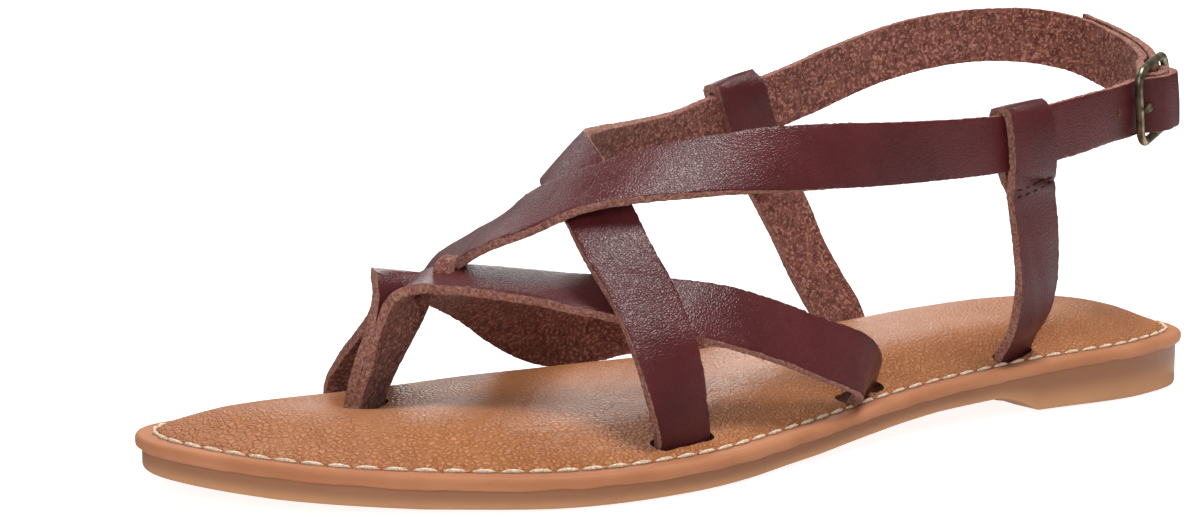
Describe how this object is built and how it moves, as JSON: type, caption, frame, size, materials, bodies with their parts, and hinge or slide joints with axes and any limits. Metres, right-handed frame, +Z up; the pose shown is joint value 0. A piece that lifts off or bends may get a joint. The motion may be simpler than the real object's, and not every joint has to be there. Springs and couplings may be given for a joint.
{
  "type": "strappy sandal",
  "caption": "Flat strappy sandal for the left foot: crossing straps joined over the forefoot, a toe post, upright ankle keepers and a buckled ankle strap on a low-heeled sole.",
  "frame": {"origin": "floor level, in the middle of the sole's length and width", "axes": "+X to the toe, +Y to the outer side of the left foot, +Z up"},
  "size_m": [0.25, 0.0888, 0.0878],
  "materials": {
    "gum": "satin moulded gum",
    "tan_sheet": "smooth edge-dyed sheet",
    "tan_leather": "soft pebble grain, padded",
    "maroon_leather": "satin fine grain outside, brushed inside",
    "dull_brass": "dull antique"
  },
  "bodies": {
    "root": {"outsole": "gum", "midsole": "tan_sheet", "insole": "tan_leather", "upper": "maroon_leather", "keeper_outer": "maroon_leather", "keeper_inner": "maroon_leather", "buckle_frame": "dull_brass", "buckle_prong": "dull_brass"}
  },
  "joints": []
}
